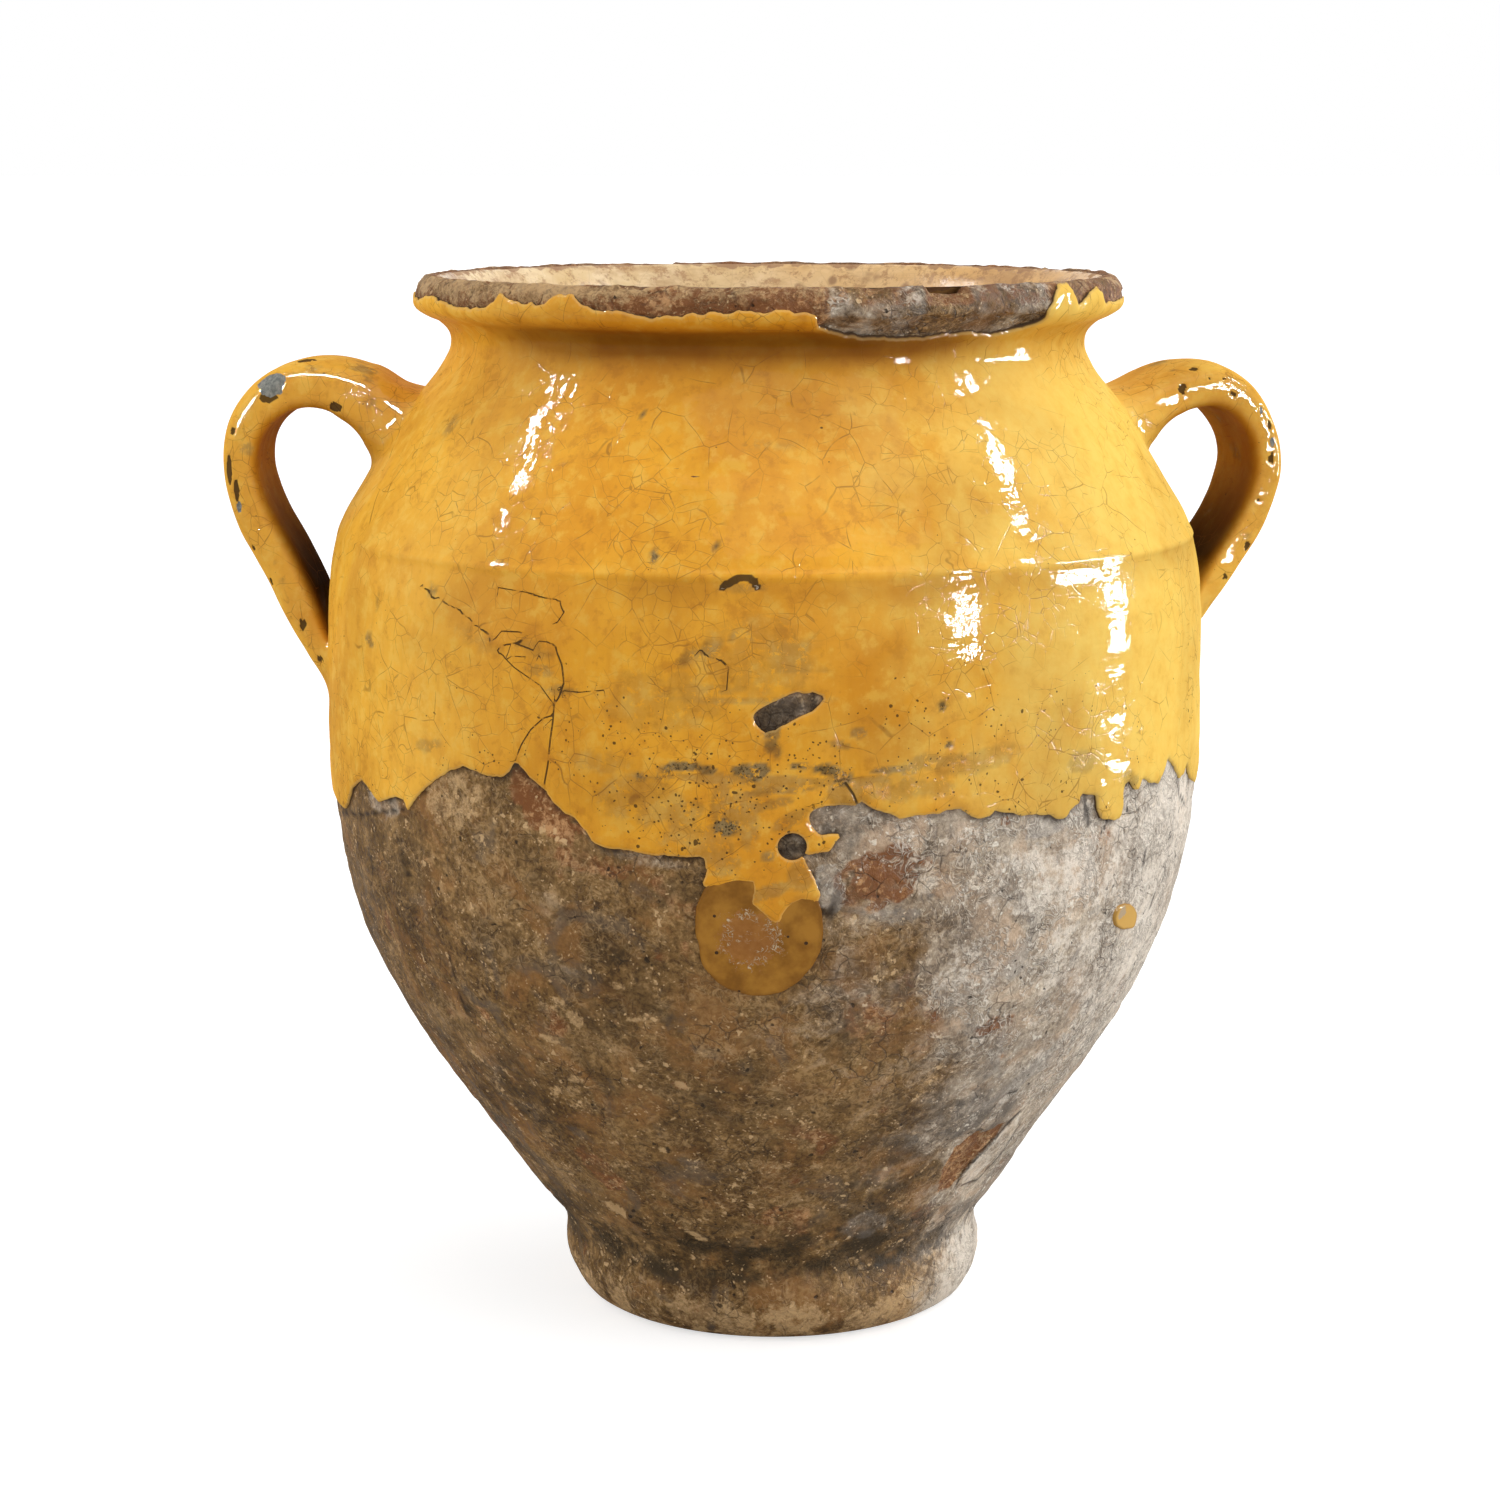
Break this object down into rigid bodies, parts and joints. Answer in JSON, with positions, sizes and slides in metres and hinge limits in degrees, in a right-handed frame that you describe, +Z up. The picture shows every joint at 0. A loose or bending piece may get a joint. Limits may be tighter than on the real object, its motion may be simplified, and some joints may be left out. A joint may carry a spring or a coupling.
{
  "type": "confit jar",
  "caption": "Wide-bellied earthenware pot on a narrow foot, with a rolled lip, two strap handles and a half coat of glaze, for keeping food under fat.",
  "frame": {"origin": "centre of the flat base, on the surface that the pot stands on", "axes": "+Z up along the pot's turning axis; the handles stand at about +X and -X, a little towards +Y; -Y is the front, with the glaze run and the amber patch"},
  "size_m": [0.3088, 0.2534, 0.3],
  "materials": {
    "bare_earthenware": "bare fired clay, matt, weathered brown to grey",
    "yellow_glaze": "glossy yellow lead glaze, finely crazed and pitted",
    "lining_glaze": "worn cream-yellow glaze",
    "amber_glaze": "thin brown-yellow glaze, satin"
  },
  "bodies": {
    "root": {"lower_section": "bare_earthenware", "upper_section": "bare_earthenware", "left_handle": "bare_earthenware", "right_handle": "bare_earthenware", "outer_glaze": "yellow_glaze", "inner_glaze": "lining_glaze", "amber_glaze_patch": "amber_glaze", "amber_glaze_drop": "amber_glaze"}
  },
  "joints": []
}
